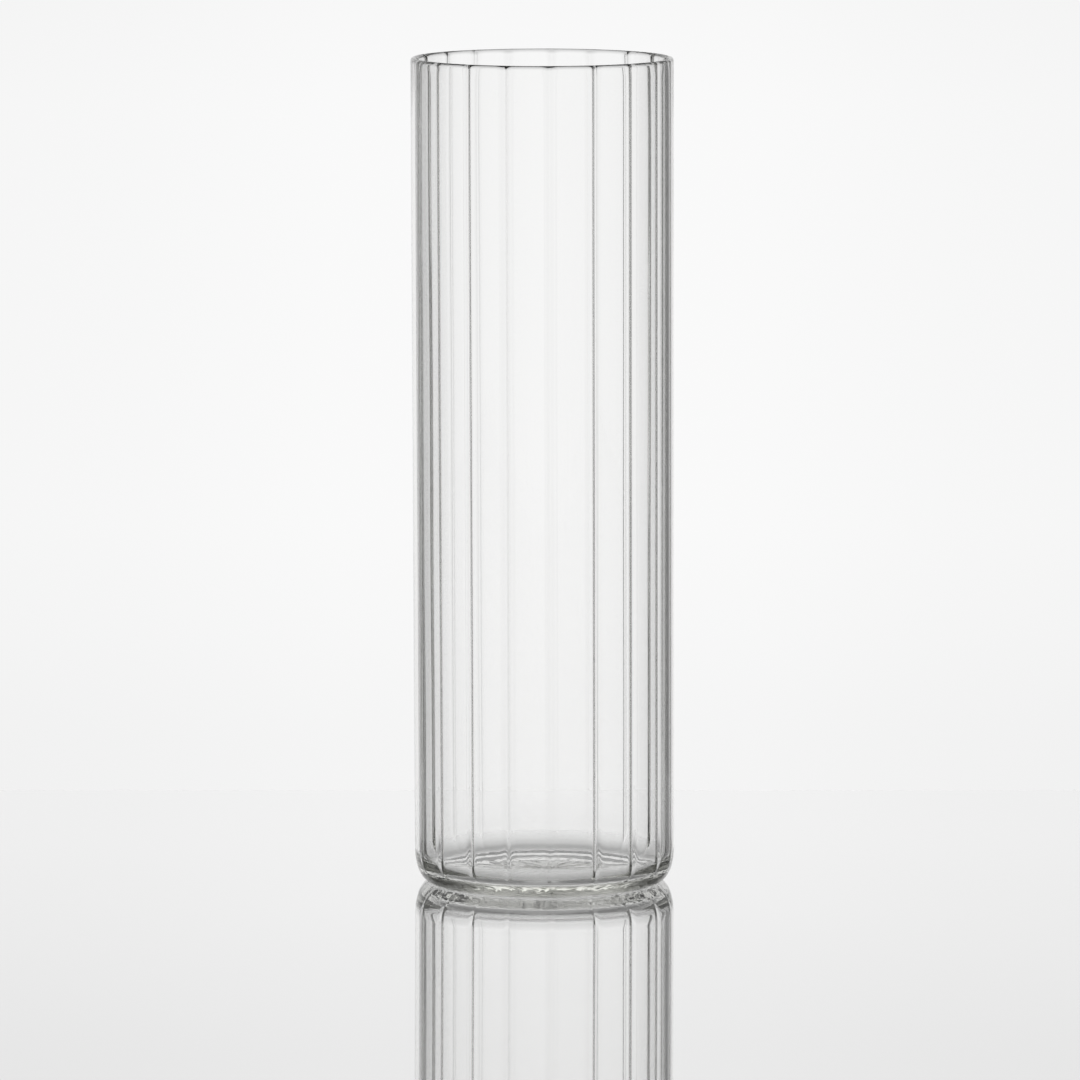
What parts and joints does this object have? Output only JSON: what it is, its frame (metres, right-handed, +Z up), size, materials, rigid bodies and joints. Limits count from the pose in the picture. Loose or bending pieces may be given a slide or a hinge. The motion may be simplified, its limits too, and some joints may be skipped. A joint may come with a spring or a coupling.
{
  "type": "ribbed glass cylinder vase",
  "caption": "Tall straight glass cylinder vase with upright ribs down the inside of its wall, an open rounded mouth and a flat base with a rounded heel.",
  "frame": {"origin": "middle of the vase, on the plane of the table the vase stands on", "axes": "+Z up the vase's axis to the mouth, -Y the front, +X to the right seen from the front"},
  "size_m": [0.095, 0.095, 0.3],
  "materials": {
    "clear_glass": "clear, fire-polished, mouth-blown soda-lime glass with a very faint grey-green tint"
  },
  "bodies": {
    "root": {"lip": "clear_glass", "wall": "clear_glass", "ribs": "clear_glass", "heel": "clear_glass", "base": "clear_glass"}
  },
  "joints": []
}
